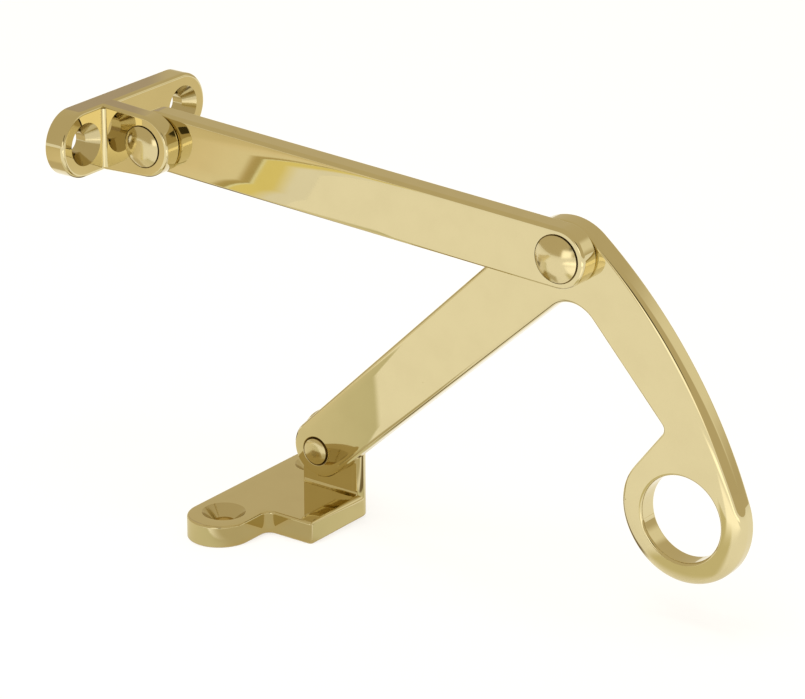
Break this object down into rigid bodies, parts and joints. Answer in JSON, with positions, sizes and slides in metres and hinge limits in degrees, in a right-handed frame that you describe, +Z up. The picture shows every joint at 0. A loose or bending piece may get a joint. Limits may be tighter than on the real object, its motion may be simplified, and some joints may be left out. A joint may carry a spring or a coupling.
{
  "type": "casement stay",
  "caption": "Riveted brass window stay: screw plate with a tongue, flat arm, bent lever with a pull ring and a foot bracket, for holding a hinged window open.",
  "frame": {"origin": "midway between the wall plate's two screw holes, on the face that meets the window frame", "axes": "+X out of the wall plate's face along the upper arm, +Y along the screw holes from the front of the stay to its back, +Z up"},
  "size_m": [0.1571, 0.0502, 0.0843],
  "materials": {
    "polished_brass": "polished casting",
    "rivet_brass": "polished, domed by peening"
  },
  "bodies": {
    "wall_plate": {"wall_plate": "polished_brass", "frame_rivet": "rivet_brass"},
    "upper_arm": {"upper_arm": "polished_brass", "elbow_rivet": "rivet_brass"},
    "lever": {"lever": "polished_brass"},
    "foot": {"foot_bracket": "polished_brass", "foot_rivet": "rivet_brass"}
  },
  "joints": [
    {"name": "frame_pivot", "type": "hinge", "parent": "wall_plate", "child": "upper_arm", "pos_m": [0.0151, 0, 0], "axis": [0, 1, 0], "range_deg": [-85, 55]},
    {"name": "elbow_pivot", "type": "hinge", "parent": "upper_arm", "child": "lever", "pos_m": [0.11601, 0, -0.00423], "axis": [0, 1, 0], "range_deg": [-120, 22]},
    {"name": "foot_pivot", "type": "hinge", "parent": "lever", "child": "foot", "pos_m": [0.05261, 0, -0.06233], "axis": [0, 1, 0], "range_deg": [-40, 100]}
  ]
}
